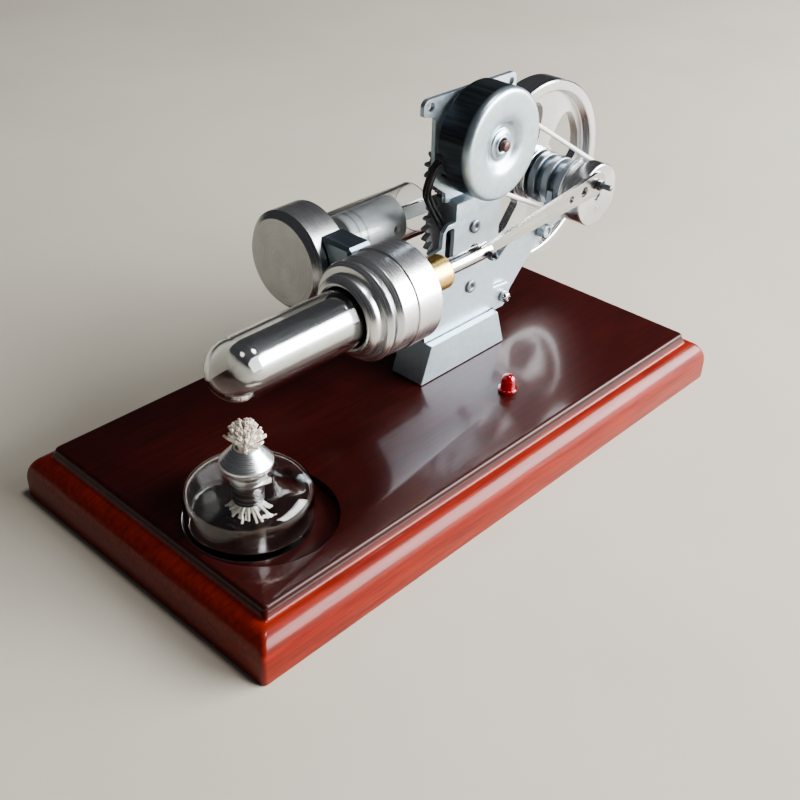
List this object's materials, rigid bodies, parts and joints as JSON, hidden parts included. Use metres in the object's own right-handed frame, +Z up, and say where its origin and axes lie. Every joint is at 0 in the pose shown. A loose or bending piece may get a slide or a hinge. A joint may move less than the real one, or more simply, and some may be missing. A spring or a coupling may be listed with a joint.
{
  "type": "stirling engine model",
  "caption": "Desk-top hot-air engine on a lacquered wooden base: spirit lamp, glass displacer tube, ribbed cooler, power cylinder, flywheel, belt-driven generator and signal lamp.",
  "frame": {"origin": "middle of the wooden base's flat underside", "axes": "+X along the base towards the flywheel end, -Y towards the displacer side, +Z up"},
  "size_m": [0.2258, 0.112, 0.1152],
  "materials": {
    "wood": "dark red lacquer, glossy",
    "glass": "clear",
    "turned_aluminium": "turned",
    "polished_steel": "polished",
    "dark_steel": "blackened",
    "zinc_plate": "zinc plated",
    "generator_steel": "dull grey",
    "brass": "turned",
    "copper": "enamelled wire",
    "ferrite": "matt black",
    "cotton": "undyed cotton",
    "grey_plastic": "moulded",
    "black_pvc": "wire sleeve",
    "white_rubber": "round belt",
    "red_lens": "clear red"
  },
  "bodies": {
    "frame": {"base": "wood", "foot_screw_left": "polished_steel", "foot_screw_right": "polished_steel", "hot_tube": "glass", "cooler": "turned_aluminium", "gland_bush": "brass", "link_block": "turned_aluminium", "block_screw_upper": "polished_steel", "block_screw_lower": "polished_steel", "power_end_cap": "turned_aluminium", "power_tube": "glass", "foot_block": "zinc_plate", "bracket_plate": "zinc_plate", "bearing_arm": "zinc_plate", "bearing_housing": "zinc_plate", "front_bearing": "polished_steel", "rear_bearing": "polished_steel", "idler_stub": "polished_steel", "idler_clip": "polished_steel", "lower_rivet": "polished_steel", "tab_screw": "polished_steel", "arm_screw": "zinc_plate", "arm_nut": "polished_steel", "counter_stub": "polished_steel", "generator_can": "generator_steel", "generator_cover": "zinc_plate", "generator_coil": "copper", "generator_post_upper": "polished_steel", "generator_post_lower": "polished_steel", "generator_post_right": "polished_steel", "drive_belt": "white_rubber", "led_lens": "red_lens", "generator_lead_1": "black_pvc", "generator_lead_2": "black_pvc", "generator_lead_3": "black_pvc"},
    "lamp": {"lamp_jar": "glass", "wick_holder": "turned_aluminium", "wick": "cotton"},
    "displacer_group": {"displacer": "polished_steel", "displacer_rod": "polished_steel", "rod_clevis": "polished_steel", "clevis_screw": "dark_steel", "clevis_nut": "dark_steel"},
    "displacer_link": {"displacer_con_rod": "polished_steel", "crank_screw": "dark_steel", "crank_nut": "dark_steel"},
    "piston_group": {"power_piston": "turned_aluminium", "wrist_pin": "polished_steel"},
    "power_link": {"power_con_rod": "polished_steel", "power_crank_screw": "dark_steel"},
    "crank_group": {"crankshaft": "polished_steel", "crank_wheel": "turned_aluminium", "flywheel": "turned_aluminium"},
    "generator_group": {"generator_shaft": "polished_steel", "generator_rotor": "ferrite", "generator_pulley": "grey_plastic", "generator_pinion": "polished_steel"},
    "counter_group": {"counter_gear": "grey_plastic"},
    "idler_group": {"idler_gear": "grey_plastic"}
  },
  "joints": [
    {"name": "crank_spin", "type": "hinge", "parent": "frame", "child": "crank_group", "pos_m": [0.0843, 0.005, 0.0658], "axis": [0, 1, 0], "continuous": true},
    {"name": "generator_spin", "type": "hinge", "parent": "frame", "child": "generator_group", "pos_m": [0.0291, -0.005, 0.0978], "axis": [0, 1, 0], "continuous": true},
    {"name": "counter_spin", "type": "hinge", "parent": "frame", "child": "counter_group", "pos_m": [0.0239, 0.004, 0.08765], "axis": [0, 1, 0], "continuous": true},
    {"name": "idler_spin", "type": "hinge", "parent": "frame", "child": "idler_group", "pos_m": [0.0311, 0.005, 0.06745], "axis": [0, 1, 0], "continuous": true},
    {"name": "displacer_slide", "type": "slide", "parent": "frame", "child": "displacer_group", "axis": [1, 0, 0], "range_m": [-0.0034, 0.0092]},
    {"name": "displacer_rod_pivot", "type": "hinge", "parent": "displacer_group", "child": "displacer_link", "pos_m": [0.0216, -0.015, 0.0658], "axis": [0, 1, 0], "range_deg": [-0.8, 11.3]},
    {"name": "piston_slide", "type": "slide", "parent": "frame", "child": "piston_group", "axis": [1, 0, 0], "range_m": [-0.0008, 0.0102]},
    {"name": "power_rod_pivot", "type": "hinge", "parent": "piston_group", "child": "power_link", "pos_m": [0.013, 0.022, 0.0658], "axis": [0, 1, 0], "range_deg": [-7.1, 2.4]},
    {"name": "lamp_lift", "type": "slide", "parent": "frame", "child": "lamp", "axis": [0, 0, 1], "range_m": [0, 0.006]}
  ],
  "couplings": [
    {"joint": "generator_spin", "follows": "crank_spin", "ratio": 0.7923},
    {"joint": "counter_spin", "follows": "crank_spin", "ratio": -0.283},
    {"joint": "idler_spin", "follows": "crank_spin", "ratio": 0.1415}
  ]
}
